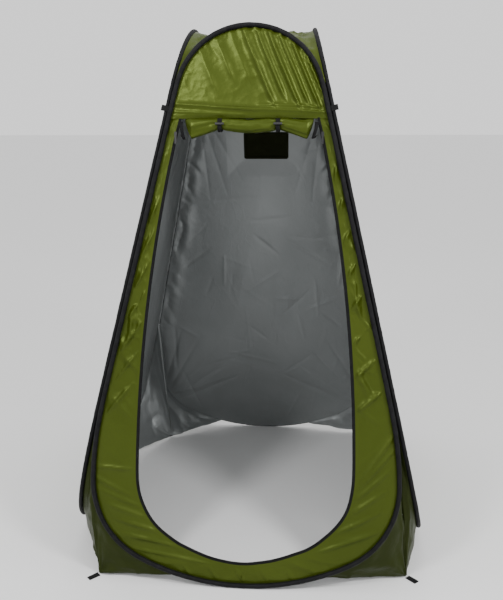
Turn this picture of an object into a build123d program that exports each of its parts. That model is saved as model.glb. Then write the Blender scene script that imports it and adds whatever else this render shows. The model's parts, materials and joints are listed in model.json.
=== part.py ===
from build123d import *
import math
import os

# A pop up changing tent: four spring steel hoops, sewn side by side along the corner seams of a
# tall pyramid, pull four leaning walls tight. Millimetres, +Z up, the front faces -Y, and the
# origin is on the ground under the middle of the roof.

# ---- driving dimensions: the pyramid that the four walls lie on ----
APEX_Z = 2804.0            # height at which the four wall planes would meet
BASE_HALF = 655.0          # from the middle of the tent to a wall plane, on the ground

# ---- driving dimensions: hoops ----
WIRE_R = 1.9               # spring steel wire
SLEEVE_R = 7.5             # outside of the fabric sleeve
SLEEVE_BORE_R = 6.3
SLEEVE_IN = 8.0            # from a corner seam to the middle of a sleeve, along the wall
SLEEVE_OUT = 8.8           # from the wall's inner face to the middle of a sleeve
HOOP_PEAK = 1945.0         # height of a hoop's top along the wall's slope
HOOP_WIDEST = 535.0        # half the width of a hoop at its widest
CORNER_R = 300.0           # bend of a hoop at its lower corners
CORNER_V = 360.0           # height of that bend's centre along the slope
FERRULE_R = 3.2
FERRULE_LENGTH = 60.0

# ---- driving dimensions: walls and front ----
FABRIC = 1.0               # thickness given to every sheet
PIECE_GAP = 0.4            # between two pieces sewn edge to edge
DOOR_HALF = 377.0          # half the width of the doorway at its widest
DOOR_SIDE_R = 5620.0       # the doorway's sides are slightly bowed
DOOR_CORNER_R = 250.0
DOOR_CORNER_V = 380.0
DOOR_SILL = 83.0           # height of the doorway's lower edge along the slope
DOOR_TOP = 1632.0          # seam above the doorway
SILL_HALF = 200.0          # half the width of the strip under the doorway

# ---- driving dimensions: zip, rolled door and its ties ----
TAPE_OVER_WALL = 8.0
TAPE_OVER_DOORWAY = 2.0
TAPE_THICKNESS = 1.2
LAYER_GAP = 0.2            # between two sheets of the same wall
RUN_GAP = 0.4              # under a piece that moves
SLIDER = (10.0, 16.0, 5.0)
SLIDER_ROUND = 3.0
SLIDER_V = 1575.0          # height of the sliders along the slope, with the door rolled up
PULL = (7.0, 36.0, 1.5)
PULL_ABOVE_PIVOT = 0.7
PULL_ROUND = 3.4
ROLL_R = 22.0
ROLL_HALF = 226.0
ROLL_IN = 8.0              # the roll's middle lies this far inside the wall
ROLL_END_ROUND = 12.0
ROLL_BELOW_SEAM = 2.0
TIE_U = 100.0              # each tie's distance from the middle
TIE_WIDTH = 14.0
TIE_THICKNESS = 1.2
TOGGLE_R = 4.0
TOGGLE_LENGTH = 30.0
TOGGLE_ROUND = 1.5
HEAD_TAPE_WIDTH = 14.0     # tape inside the seam above the doorway

# ---- driving dimensions: window in the back wall ----
WINDOW_WIDTH = 180.0
WINDOW_HEIGHT = 106.0
WINDOW_V = 1504.0          # middle of the window along the slope
WINDOW_U = -25.0           # and across the wall
WINDOW_HEM = 10.0
FLAP_MARGIN = 16.0
FLAP_THICKNESS = 1.0

# ---- driving dimensions: roof, gussets and webbing tabs ----
ROOF_DROP = 9.0            # the roof's edge lies this far under the hoops' planes
ROOF_SAG = 90.0            # the roof's middle, below the hoops' peaks
OUTLINE_STEPS = 12
TIP_SHARE = 0.02           # a sheet stops this share of its length short of its tip
GROUND_CORNERS = {         # where each lower corner stands: the real base is not quite square
    "front_right": (580.0, -560.0),
    "back_right": (530.0, 620.0),
    "back_left": (-470.0, 505.0),
    "front_left": (-522.0, -622.0),
}
GUSSET_ABOVE_KNEE = 30.0   # the gusset's point runs this far up the straight side of a hoop
GUSSET_END_U = 215.0       # where the gusset's hem runs out under the hoop
HEM_LIFT = 1.5             # the gussets' hems hang just clear of the ground
SEAM_STRIP = 12.0          # width of the cloth that joins a wall's edge to the corner seam
SEAM_STRIP_LOW = 640.0
SEAM_STRIP_TOP = 1738.0
SEAM_STRIP_GAP = 0.6       # the strip stops this far short of the corner line
FACET_GAP = 2.0            # between the two facets of a gusset, and between roof gores
TAB_WIDTH = 20.0
TAB_LAYER = 1.0
TAB_GAP = 0.6              # the loop in a tab lies flat
TAB_END = 2.5              # solid end of a tab
GUY_TAB_V = 1662.0
GUY_TAB_LENGTH = 26.0
STAKE_TAB_LENGTH = 42.0
TAB_START = 2.0            # a tab begins this far out of the seam

# ---- worked out from the driving dimensions ----
SLOPE = math.hypot(APEX_Z, BASE_HALF)      # from the ground to the apex along a wall's middle
LEAN_COS = APEX_Z / SLOPE
LEAN_SIN = BASE_HALF / SLOPE
SEAM_RATE = BASE_HALF / SLOPE              # how fast a wall narrows along its slope
SEAM_STRETCH = math.hypot(1.0, SEAM_RATE)
TAB_THICKNESS = 2 * TAB_LAYER + TAB_GAP

SIDES = {"front": 0.0, "right": 90.0, "back": 180.0, "left": 270.0}
# Each corner: its name, its direction, and the walls on either side of it.
CORNERS = [
    ("front_right", -45.0, "front", "right"),
    ("back_right", 45.0, "right", "back"),
    ("back_left", 135.0, "back", "left"),
    ("front_left", 225.0, "left", "front"),
]
# Each guy tab: its corner, the wall that it is sewn to, and whether it is at that wall's left.
GUY_TABS = [
    ("front_right", "right", True),
    ("back_right", "back", True),
    ("back_left", "back", False),
    ("front_left", "left", False),
]


def wall_place(side):
    """Where a wall's own frame lies: x across it, y up its slope, z out of the tent."""
    wall = Plane(origin=(0, -BASE_HALF, 0), x_dir=(1, 0, 0), z_dir=(0, -LEAN_COS, LEAN_SIN))
    return Rot(0, 0, SIDES[side]) * wall.location


def wall_point(side, across, up, out=0.0):
    """The tent's coordinates of a point given in a wall's own frame."""
    return (wall_place(side) * Pos(across, up, out)).position


def seam_across(up):
    """Half the width of a wall's plane, from its middle to the corner seam."""
    return BASE_HALF - SEAM_RATE * up


def on_arc(centre, radius, degrees):
    """A point on a circle in the wall's plane."""
    angle = math.radians(degrees)
    return (centre[0] + radius * math.cos(angle), centre[1] + radius * math.sin(angle))


def arc_between(centre, radius, start, end):
    """The arc from one angle to another, in degrees."""
    middle = on_arc(centre, radius, (start + end) / 2)
    return ThreePointArc(on_arc(centre, radius, start), middle, on_arc(centre, radius, end))


def foot_arc(lowest, corner_across, corner_up, corner_radius):
    """The radius of the arc that meets both lower corner bends and has its lowest point there."""
    rise = corner_up - lowest
    return (corner_across**2 + rise**2 - corner_radius**2) / (2 * (rise - corner_radius))


def hoop_lines():
    """One hoop's centre line: tangent arcs and straight sides, counterclockwise from its foot."""
    foot = (SLEEVE_R - SLEEVE_OUT * LEAN_SIN) / LEAN_COS
    corner = (HOOP_WIDEST - CORNER_R, CORNER_V)
    foot_r = foot_arc(foot, corner[0], corner[1], CORNER_R)
    foot_centre = (0.0, foot + foot_r)
    foot_angle = math.degrees(math.atan2(corner[1] - foot_centre[1], corner[0]))
    side_start = BASE_HALF - SLEEVE_IN * SEAM_STRETCH
    lean = math.degrees(math.atan(SEAM_RATE))
    knee_up = (side_start - HOOP_WIDEST) / SEAM_RATE
    knee_r = (knee_up - CORNER_V) / math.tan(math.radians(lean / 2))
    knee_centre = (HOOP_WIDEST - knee_r, CORNER_V)
    top_r = (side_start - SEAM_RATE * HOOP_PEAK) / (SEAM_STRETCH - SEAM_RATE)
    top_centre = (0.0, HOOP_PEAK - top_r)
    right = [
        arc_between(foot_centre, foot_r, -90, foot_angle),
        arc_between(corner, CORNER_R, foot_angle, 0),
        arc_between(knee_centre, knee_r, 0, lean),
        Line(on_arc(knee_centre, knee_r, lean), on_arc(top_centre, top_r, lean)),
        arc_between(top_centre, top_r, lean, 90),
    ]
    left = [mirror(line, about=Plane.YZ).edge() for line in right]
    return right, left


def hoop_face():
    """The area inside a hoop's centre line."""
    right, left = hoop_lines()
    return make_face(Wire(right + left))


def door_face(grow=0.0):
    """The doorway, or a doorway that is larger by a margin at its sides and foot."""
    corner = (DOOR_HALF - DOOR_CORNER_R, DOOR_CORNER_V)
    foot_r = foot_arc(DOOR_SILL, corner[0], corner[1], DOOR_CORNER_R)
    foot_centre = (0.0, DOOR_SILL + foot_r)
    foot_angle = math.degrees(math.atan2(corner[1] - foot_centre[1], corner[0]))
    side_centre = (DOOR_HALF - DOOR_SIDE_R, DOOR_CORNER_V)
    side_r = DOOR_SIDE_R + grow
    side_angle = math.degrees(math.asin((DOOR_TOP - DOOR_CORNER_V) / side_r))
    right = [
        arc_between(foot_centre, foot_r + grow, -90, foot_angle),
        arc_between(corner, DOOR_CORNER_R + grow, foot_angle, 0),
        arc_between(side_centre, side_r, 0, side_angle),
    ]
    left = [mirror(line, about=Plane.YZ).edge() for line in right]
    top_right = on_arc(side_centre, side_r, side_angle)
    top = Line(top_right, (-top_right[0], top_right[1]))
    return make_face(Wire(right + left + [top]))


def door_edge_across(up):
    """Half the width of the doorway at a height between its corner bends and its top."""
    return DOOR_HALF - DOOR_SIDE_R + math.sqrt(DOOR_SIDE_R**2 - (up - DOOR_CORNER_V)**2)


def band(low_across, high_across, low_up, high_up):
    """A plain rectangle in the wall's plane, for trimming."""
    width = high_across - low_across
    height = high_up - low_up
    return Pos(low_across + width / 2, low_up + height / 2) * Rectangle(width, height)


def sheet(face, out=0.0, thickness=FABRIC):
    """A flat sheet that stands on the wall's plane."""
    return Pos(0, 0, out) * extrude(face, thickness, dir=(0, 0, 1))


def tube(lines, radius):
    """A round rod along a smooth line, one span of it for each line or arc."""
    spans = []
    for line in lines:
        section = Plane(origin=line @ 0, z_dir=line % 0) * Circle(radius)
        spans.append(sweep(section, path=line))
    rod = spans[0]
    for span in spans[1:]:
        rod = rod + span
    return Pos(0, 0, SLEEVE_OUT) * rod


def hoop_sleeve():
    """The fabric channel that holds a hoop's wire."""
    right, left = hoop_lines()
    return tube(right + left, SLEEVE_R) - tube(right + left, SLEEVE_BORE_R)


def hoop_wire():
    """The spring steel wire of one hoop."""
    right, left = hoop_lines()
    return tube(right + left, WIRE_R)


def hoop_ferrule():
    """The crimped steel tube that joins the two ends of a hoop's wire, at its foot."""
    right, left = hoop_lines()
    share = FERRULE_LENGTH / 2 / right[0].length
    halves = [Edge.trim(line, 0, share) for line in (right[0], left[0])]
    return tube(halves, FERRULE_R) - tube(halves, WIRE_R + 0.05)


def wall_face(hands):
    """The area inside a hoop, with a strip out to the corner seam at its left (-1) or right (1)."""
    face = hoop_face()
    for hand in hands:
        outline = []
        for up, short in (
            (SEAM_STRIP_LOW, SEAM_STRIP),
            (SEAM_STRIP_LOW, SEAM_STRIP_GAP),
            (SEAM_STRIP_TOP, SEAM_STRIP_GAP),
            (SEAM_STRIP_TOP, SEAM_STRIP),
        ):
            outline.append((hand * (seam_across(up) - short), up))
        face = face + make_face(Polyline(*outline, close=True))
    return face


def plain_wall(hands):
    """A side wall, which fills its hoop and reaches its corner seams."""
    return sheet(wall_face(hands))


def window_face(grow=0.0):
    """The window, or a rectangle that is larger by a margin all round."""
    return Pos(WINDOW_U, WINDOW_V) * Rectangle(WINDOW_WIDTH + 2 * grow, WINDOW_HEIGHT + 2 * grow)


def back_wall():
    """The back wall with its window cut out."""
    return sheet(wall_face((-1, 1)) - window_face())


def window_mesh():
    """Netting in the window."""
    return sheet(window_face(-PIECE_GAP), thickness=FABRIC / 2)


def window_binding():
    """Tape sewn round the window on the inside of the wall."""
    return sheet(window_face(WINDOW_HEM) - window_face(-1.0), out=-FABRIC - LAYER_GAP)


def window_flap():
    """The cover outside the window, hinged on its upper seam."""
    return sheet(window_face(FLAP_MARGIN), out=FABRIC + RUN_GAP, thickness=FLAP_THICKNESS)


def front_top_panel():
    """The front wall above the doorway."""
    over = band(-BASE_HALF, BASE_HALF, DOOR_TOP + PIECE_GAP, HOOP_PEAK + SLEEVE_R)
    return sheet(wall_face((-1,)) & over)


def front_part(low_across, high_across):
    """A part of the front wall beside or below the doorway."""
    part = band(low_across, high_across, -SLEEVE_R, DOOR_TOP)
    return sheet((wall_face((-1,)) - door_face()) & part)


def zip_tape(low_across, high_across):
    """A length of the black zip tape along the doorway's edge."""
    ring = door_face(TAPE_OVER_WALL) - door_face(-TAPE_OVER_DOORWAY)
    part = band(low_across, high_across, 0, DOOR_TOP - TAPE_OVER_WALL / 2)
    return sheet(ring & part, out=FABRIC + LAYER_GAP, thickness=TAPE_THICKNESS)


def beside_doorway(maker, hand):
    """The left or right length of a piece that runs round the doorway."""
    if hand < 0:
        return maker(-BASE_HALF, -SILL_HALF - PIECE_GAP)
    return maker(SILL_HALF + PIECE_GAP, BASE_HALF)


def head_tape():
    """Tape inside the seam above the doorway, which the ties are sewn into."""
    half = door_edge_across(DOOR_TOP)
    low = DOOR_TOP + PIECE_GAP
    strip = band(-half, half, low, low + HEAD_TAPE_WIDTH)
    return sheet(strip, out=-TAPE_THICKNESS - LAYER_GAP, thickness=TAPE_THICKNESS)


def slider_place(hand):
    """The middle of a slider's inner face."""
    across = hand * (door_edge_across(SLIDER_V) + TAPE_OVER_WALL / 2)
    return Pos(across, SLIDER_V, FABRIC + LAYER_GAP + TAPE_THICKNESS + RUN_GAP)


def zip_slider(hand):
    """The body of a zip slider."""
    body = slider_place(hand) * Pos(0, 0, SLIDER[2] / 2) * Box(*SLIDER)
    return fillet(body.edges().filter_by(Axis.Z), SLIDER_ROUND)


def zip_pull(hand):
    """The pull tab that hangs from a slider."""
    out = SLIDER[2] + RUN_GAP + PULL[2] / 2
    drop = PULL[1] / 2 - PULL_ABOVE_PIVOT
    tab = slider_place(hand) * Pos(0, -drop, out) * Box(*PULL)
    return fillet(tab.edges().filter_by(Axis.Z), PULL_ROUND)


def roll_place():
    """The middle of the rolled door, with its own length along Z."""
    return Pos(0, DOOR_TOP - ROLL_BELOW_SEAM - ROLL_R, -ROLL_IN) * Rot(0, 90, 0)


def door_roll():
    """The door, rolled up under its seam."""
    roll = roll_place() * Cylinder(ROLL_R, 2 * ROLL_HALF)
    return fillet(roll.edges(), ROLL_END_ROUND)


def door_tie(hand):
    """A webbing strap round the rolled door."""
    inside = ROLL_R + RUN_GAP
    strap = Cylinder(inside + TIE_THICKNESS, TIE_WIDTH) - Cylinder(inside, TIE_WIDTH)
    return roll_place() * Pos(0, 0, hand * TIE_U) * strap


def tie_toggle(hand):
    """The barrel toggle in front of a tie."""
    out = ROLL_R + RUN_GAP + TIE_THICKNESS + RUN_GAP + TOGGLE_R
    barrel = roll_place() * Pos(-out, 0, hand * TIE_U) * Cylinder(TOGGLE_R, TOGGLE_LENGTH)
    return fillet(barrel.edges(), TOGGLE_ROUND)


def cone_sheet(outline, tip):
    """A thin sheet of straight lines, from an outline in space almost to a tip."""
    small = [tip + (point - tip) * TIP_SHARE for point in outline]
    wide = Spline(*outline)
    narrow = Spline(*small)
    cloth = Face.make_surface_from_curves(wide.edge(), narrow.edge())
    return Solid.thicken(cloth, FABRIC)


def roof_gore(side):
    """A quarter of the roof, from one hoop's top bend down to the middle of the roof."""
    right, left = hoop_lines()
    outline = []
    for bend, shares in ((right[-1], range(OUTLINE_STEPS)), (left[-1], range(OUTLINE_STEPS, -1, -1))):
        for share in shares:
            point = bend @ (share / OUTLINE_STEPS)
            outline.append(wall_point(side, point.X, point.Y) - Vector(0, 0, ROOF_DROP))
    middle_z = HOOP_PEAK * LEAN_COS - ROOF_SAG
    tip = (Rot(0, 0, SIDES[side]) * Pos(0, -FACET_GAP, middle_z)).position
    return cone_sheet(outline, tip)


def gusset_facet(side, hand, corner):
    """Half a gusset: the cloth from one hoop's lower corner to the corner of the tent."""
    right, _ = hoop_lines()
    path = Wire(right)
    start = right[0].length * GUSSET_END_U / (right[0] @ 1).X
    end = sum(line.length for line in right[:3]) + GUSSET_ABOVE_KNEE
    outline = []
    for step in range(OUTLINE_STEPS + 1):
        along = (start + (end - start) * step / OUTLINE_STEPS) / path.length
        point = path @ along
        outline.append(wall_point(side, hand * point.X, point.Y + HEM_LIFT, -1.5 * FABRIC))
    short = (Rot(0, 0, SIDES[side]) * Pos(-hand * FACET_GAP, 0, 0)).position
    tip = Vector(*GROUND_CORNERS[corner], HEM_LIFT) + short
    return cone_sheet(outline, tip)


def webbing_tab(length):
    """A strip of webbing folded back on itself, with its length along Z and its start at Z 0."""
    loop = Box(TAB_GAP, TAB_WIDTH, length - 2 * TAB_END)
    return Pos(0, 0, length / 2) * (Box(TAB_THICKNESS, TAB_WIDTH, length) - loop)


def guy_tab():
    """A tab in a corner seam, standing out of the wall at its right-hand edge."""
    across = seam_across(GUY_TAB_V) + LAYER_GAP + TAB_THICKNESS / 2
    lean = math.degrees(math.atan(SEAM_RATE))
    return Pos(across, GUY_TAB_V, TAB_START) * Rot(0, 0, lean) * webbing_tab(GUY_TAB_LENGTH)


def stake_tab(corner, degrees):
    """A tab that lies on the ground and points away from a lower corner of the tent."""
    flat = Pos(TAB_START, 0, TAB_THICKNESS / 2) * Rot(0, 90, 0) * webbing_tab(STAKE_TAB_LENGTH)
    return Pos(*GROUND_CORNERS[corner], 0) * Rot(0, 0, degrees) * flat


def wall_pieces():
    """The pieces of each wall, in the wall's own frame: side, node and shape."""
    sleeve = hoop_sleeve()
    wire = hoop_wire()
    ferrule = hoop_ferrule()
    pieces = []
    for side in SIDES:
        pieces.append((side, side + "_hoop_sleeve", sleeve))
        pieces.append((side, side + "_hoop_wire", wire))
        pieces.append((side, side + "_wire_ferrule", ferrule))
    pieces.append(("left", "left_wall", plain_wall((-1, 1))))
    pieces.append(("right", "right_wall", plain_wall((1,))))
    pieces.append(("back", "back_wall", back_wall()))
    pieces.append(("back", "window_mesh", window_mesh()))
    pieces.append(("back", "window_binding", window_binding()))
    pieces.append(("back", "window_flap", window_flap()))
    pieces.append(("front", "front_top_panel", front_top_panel()))
    pieces.append(("front", "doorway_sill", front_part(-SILL_HALF, SILL_HALF)))
    pieces.append(("front", "zip_tape_foot", zip_tape(-SILL_HALF, SILL_HALF)))
    pieces.append(("front", "door_head_tape", head_tape()))
    pieces.append(("front", "rolled_door", door_roll()))
    for hand, name in ((-1, "left"), (1, "right")):
        pieces.append(("front", "doorway_side_" + name, beside_doorway(front_part, hand)))
        pieces.append(("front", "zip_tape_" + name, beside_doorway(zip_tape, hand)))
        pieces.append(("front", "zip_slider_" + name, zip_slider(hand)))
        pieces.append(("front", "zip_pull_" + name, zip_pull(hand)))
        pieces.append(("front", "door_tie_" + name, door_tie(hand)))
        pieces.append(("front", "tie_toggle_" + name, tie_toggle(hand)))
    return pieces


def save(shape, node):
    """Write one piece to its own file."""
    shape.label = node
    export_step(shape, "parts/" + node + ".step")


def main():
    """Make every piece of the tent."""
    os.makedirs("parts", exist_ok=True)
    for side, node, shape in wall_pieces():
        save(wall_place(side) * shape, node)
    for side in SIDES:
        save(roof_gore(side), "roof_" + side)
    for corner, degrees, first, second in CORNERS:
        save(gusset_facet(first, 1, corner), "gusset_" + corner + "_on_" + first)
        save(gusset_facet(second, -1, corner), "gusset_" + corner + "_on_" + second)
        save(stake_tab(corner, degrees), "stake_tab_" + corner)
    for corner, side, flipped in GUY_TABS:
        tab = guy_tab()
        if flipped:
            tab = mirror(tab, about=Plane.YZ)
        save(wall_place(side) * tab, "guy_tab_" + corner)


main()
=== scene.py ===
import json
import math

import bmesh
import bpy
import numpy as np
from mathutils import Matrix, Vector


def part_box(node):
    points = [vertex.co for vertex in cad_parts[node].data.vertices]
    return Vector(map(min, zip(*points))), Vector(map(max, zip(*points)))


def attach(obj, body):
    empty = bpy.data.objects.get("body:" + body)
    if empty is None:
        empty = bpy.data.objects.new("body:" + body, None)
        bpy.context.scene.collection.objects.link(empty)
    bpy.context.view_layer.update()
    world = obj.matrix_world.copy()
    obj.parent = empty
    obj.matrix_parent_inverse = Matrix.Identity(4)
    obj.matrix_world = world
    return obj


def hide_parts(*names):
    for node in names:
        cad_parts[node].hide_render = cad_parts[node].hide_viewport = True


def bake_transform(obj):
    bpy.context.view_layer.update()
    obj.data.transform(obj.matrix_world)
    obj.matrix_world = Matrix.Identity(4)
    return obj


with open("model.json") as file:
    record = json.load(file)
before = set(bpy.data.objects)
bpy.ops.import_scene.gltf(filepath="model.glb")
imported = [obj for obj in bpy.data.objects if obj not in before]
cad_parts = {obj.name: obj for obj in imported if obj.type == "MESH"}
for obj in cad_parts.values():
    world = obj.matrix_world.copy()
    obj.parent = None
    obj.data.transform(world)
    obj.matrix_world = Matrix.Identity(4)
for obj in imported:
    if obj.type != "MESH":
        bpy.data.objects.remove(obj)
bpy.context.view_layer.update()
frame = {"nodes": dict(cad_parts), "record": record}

# ---- what the frame says about the tent ----
JOINTS = {joint["name"]: joint for joint in frame["record"]["behaviour"]["joints"]}
FOLD = JOINTS["fold"]
BASE_HALF = abs(FOLD["pos_m"][0])
APEX_Z = BASE_HALF * abs(FOLD["axis"][2] / FOLD["axis"][0])
SLOPE = math.hypot(BASE_HALF, APEX_Z)
LEAN_COS = APEX_Z / SLOPE
LEAN_SIN = BASE_HALF / SLOPE
SEAM_RATE = LEAN_SIN       # how much narrower a wall gets on each side for each metre up its slope
SIDES = {"front": 0.0, "right": 90.0, "back": 180.0, "left": 270.0}

# ---- cloth, in metres ----
CLOTH = 0.0008             # thickness of the coated taffeta
CELL = 0.006               # size of a wall's mesh cells
WALL_TALL = 1.95           # up the slope and across, for counting a wall's cells
WALL_WIDE = 1.07
HOOP_COUNT = 900           # points round a hoop
SLEEVE_R = 0.0088          # outside of a sleeve
SLEEVE_OUT = 0.0088        # the middle of a sleeve, from the wall's plane
TAPE_WIDTH = 0.011
TAPE_THICK = 0.0026
FOLD_ROOM = 0.22           # how far in cloth may hang for each metre from its hoop: room for folding
VOXEL = 0.0005             # grain of the small parts' meshes


# ======== geometry helpers ========

def turned(points, degrees):
    """Points turned about the vertical axis."""
    angle = math.radians(degrees)
    cos, sin = math.cos(angle), math.sin(angle)
    out = np.array(points, float)
    x, y = out[..., 0].copy(), out[..., 1].copy()
    out[..., 0] = x * cos - y * sin
    out[..., 1] = x * sin + y * cos
    return out


def wall_points(side, across, up, out):
    """Places in the tent of points given across a wall, up its slope and out of it."""
    across, up, out = np.broadcast_arrays(across, up, out)
    y = -BASE_HALF + up * LEAN_SIN - out * LEAN_COS
    z = up * LEAN_COS + out * LEAN_SIN
    return turned(np.stack([across, y, z], axis=-1), SIDES[side])


def wall_way(side, across, up, out):
    """Directions in the tent of ones given across a wall, up its slope and out of it."""
    return wall_points(side, across, up, out) - wall_points(side, 0.0, 0.0, 0.0)


def in_wall(side, points):
    """The across, up and out of places in the tent."""
    local = turned(points, -SIDES[side])
    y = local[..., 1] + BASE_HALF
    up = y * LEAN_SIN + local[..., 2] * LEAN_COS
    out = -y * LEAN_COS + local[..., 2] * LEAN_SIN
    return np.stack([local[..., 0], up, out], axis=-1)


def node_points(node):
    """Every corner of a CAD node's mesh."""
    return np.array([vertex.co for vertex in frame["nodes"][node].data.vertices], float)


def running_length(line):
    """How far along a line each of its points is."""
    return np.concatenate([[0], np.cumsum(np.linalg.norm(np.diff(line, axis=0), axis=1))])


def unit(ways):
    """Directions brought to length 1."""
    return ways / np.linalg.norm(ways, axis=1)[:, None]


def smooth_ring(points, count, window, closed=True):
    """Evenly spaced points along a line, with small corners rounded off."""
    line = np.vstack([points, points[:1]]) if closed else np.array(points)
    steps = running_length(line)
    spread = np.linspace(0, steps[-1], count + 1)
    even = np.stack([np.interp(spread, steps, line[:, axis]) for axis in range(line.shape[1])], axis=1)
    if closed:
        even = even[:-1]
    reach = max(1, int(window / (steps[-1] / count) / 2))
    for _ in range(2):
        total = np.zeros_like(even)
        for shift in range(-reach, reach + 1):
            if closed:
                total += np.roll(even, shift, axis=0)
            else:
                index = np.clip(np.arange(len(even)) + shift, 0, len(even) - 1)
                total += even[index]
        smoothed = total / (2 * reach + 1)
        if not closed:
            smoothed[0], smoothed[-1] = even[0], even[-1]
        even = smoothed
    return even


def hoop_outline():
    """The hoop's centre line on the wall, from its foot and round to the right."""
    wire = in_wall("left", node_points("left_hoop_wire"))
    top = wire[:, 2].max() - 0.06 * (wire[:, 2].max() - wire[:, 2].min())
    flat = wire[wire[:, 2] > top][:, :2]
    middle = np.array([0.0, (flat[:, 1].min() + flat[:, 1].max()) / 2])
    angle = np.arctan2(flat[:, 0] - middle[0], -(flat[:, 1] - middle[1]))
    return smooth_ring(flat[np.argsort(angle % (2 * math.pi))], HOOP_COUNT, 0.03)


def doorway_outline():
    """The doorway's edge from its top left, down and round its foot, to its top right."""
    parts = [node_points(node) for node in ("doorway_side_left", "doorway_sill", "doorway_side_right")]
    flat = in_wall("front", np.vstack(parts))
    flat = flat[np.abs(flat[:, 2]) < 0.0002][:, :2]
    gap = np.linalg.norm(flat[:, None, :] - HOOP[None, ::3, :], axis=2).min(axis=1)
    edge = flat[gap > 0.012]
    top = edge[:, 1].max()
    middle = np.array([0.0, top - 0.3])
    angle = np.arctan2(edge[:, 0] - middle[0], -(edge[:, 1] - middle[1]))
    return smooth_ring(edge[np.argsort(angle)], 900, 0.05, closed=False)


HOOP = hoop_outline()
HOOP_FOOT = HOOP[:, 1].min()
HOOP_PEAK = HOOP[:, 1].max()
DOORWAY = doorway_outline()
DOOR_TOP = DOORWAY[:, 1].max()


def half_width(up):
    """Half the width of a wall at a height up its slope."""
    right = HOOP[HOOP[:, 0] >= 0]
    right = right[np.argsort(right[:, 1])]
    return np.interp(up, right[:, 1], right[:, 0])


# ======== noise and folds ========

def lattice_noise(x, y, seed):
    """Smooth noise from -1 to 1 over a plane, the same on every run."""
    table = np.random.default_rng(seed).uniform(-1, 1, (256, 256))
    x, y = np.broadcast_arrays(x, y)
    cell_x, cell_y = np.floor(x).astype(int), np.floor(y).astype(int)
    part_x, part_y = x - cell_x, y - cell_y
    ease_x = part_x * part_x * part_x * (part_x * (part_x * 6 - 15) + 10)
    ease_y = part_y * part_y * part_y * (part_y * (part_y * 6 - 15) + 10)
    def corner(i, j):
        return table[(cell_x + i) % 256, (cell_y + j) % 256]
    low = corner(0, 0) * (1 - ease_x) + corner(1, 0) * ease_x
    high = corner(0, 1) * (1 - ease_x) + corner(1, 1) * ease_x
    return low * (1 - ease_y) + high * ease_y


def ridges(x, y, seed):
    """Sharp creases between flat-sided hollows, from 0 to 1."""
    bend_x = x + 0.35 * lattice_noise(x * 0.7, y * 0.7, seed + 50)
    bend_y = y + 0.35 * lattice_noise(x * 0.7 + 9, y * 0.7, seed + 51)
    return 1 - np.abs(lattice_noise(bend_x, bend_y, seed)) * 1.6


def crumple(x, y, size, seed):
    """Creases at two scales, as in cloth that was packed tight."""
    coarse = ridges(x / size, y / size, seed)
    fine = ridges(x / size * 2.3 + 5, y / size * 2.1, seed + 7)
    return coarse + 0.4 * fine - 0.9


def fold_line(x, y, start, end, width, height):
    """One straight fold that fades out towards both ends."""
    ax, ay = start
    dx, dy = end[0] - ax, end[1] - ay
    length = math.hypot(dx, dy)
    along = ((x - ax) * dx + (y - ay) * dy) / length**2
    aside = ((x - ax) * dy - (y - ay) * dx) / length
    fade = np.clip(along, 0, 1) * np.clip(1 - along, 0, 1) * 4
    reach = np.where((along > 0) & (along < 1), fade**0.6, 0)
    return height * reach * np.exp(-(np.abs(aside) / (width * (0.35 + 0.65 * fade)))**1.25)


def random_creases(x, y, count, length, seed, box):
    """Thin straight memory lines at random places and angles."""
    rng = np.random.default_rng(seed)
    total = np.zeros(np.broadcast(x, y).shape)
    for _ in range(count):
        middle = rng.uniform((box[0], box[1]), (box[2], box[3]))
        angle = rng.uniform(0, math.pi)
        half = length * rng.uniform(0.4, 1.0) / 2
        step = np.array([math.cos(angle), math.sin(angle)]) * half
        height = rng.uniform(-1, 1)
        total += fold_line(x, y, middle - step, middle + step, 0.0065, height)
    return total


# ======== mesh helpers ========

def add_object(name, data):
    """A new object in the scene."""
    made = bpy.data.objects.new(name, data)
    bpy.context.scene.collection.objects.link(made)
    return made


def set_flat(mesh, flat):
    """Stores each point's place on the uncut cloth, which the materials read."""
    attribute = mesh.attributes.new("flat", "FLOAT_VECTOR", "POINT")
    attribute.data.foreach_set("vector", flat.reshape(-1, 3).astype(np.float32).ravel())


def shade_smooth(piece):
    for polygon in piece.data.polygons:
        polygon.use_smooth = True


def mesh_object(name, points, flat, faces):
    """A mesh from points and faces, without loose or doubled points."""
    mesh = bpy.data.meshes.new(name)
    mesh.from_pydata(points.reshape(-1, 3).tolist(), [], faces)
    set_flat(mesh, flat)
    mesh.update()
    piece = add_object(name, mesh)
    clean(piece)
    return piece


def grid_object(name, points, flat, keep=None, wrap=False):
    """A mesh from a grid of points. flat gives each point's place on the uncut cloth."""
    rows, columns = points.shape[:2]
    faces = []
    last = columns if wrap else columns - 1
    for i in range(rows - 1):
        for j in range(last):
            if keep is not None and not keep[i, j]:
                continue
            k = (j + 1) % columns
            faces.append((i * columns + j, i * columns + k, (i + 1) * columns + k, (i + 1) * columns + j))
    return mesh_object(name, points, flat, faces)


def clean(piece):
    """Drops loose points and merges the ones that coincide."""
    work = bmesh.new()
    work.from_mesh(piece.data)
    bmesh.ops.remove_doubles(work, verts=work.verts, dist=1e-6)
    loose = [vertex for vertex in work.verts if not vertex.link_faces]
    bmesh.ops.delete(work, geom=loose, context="VERTS")
    work.to_mesh(piece.data)
    work.free()
    shade_smooth(piece)


def bake_modifiers(piece):
    """Turns a piece's modifiers into its mesh."""
    bpy.context.view_layer.update()
    shaped = piece.evaluated_get(bpy.context.evaluated_depsgraph_get())
    mesh = bpy.data.meshes.new_from_object(shaped)
    piece.modifiers.clear()
    piece.data = mesh
    shade_smooth(piece)


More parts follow.
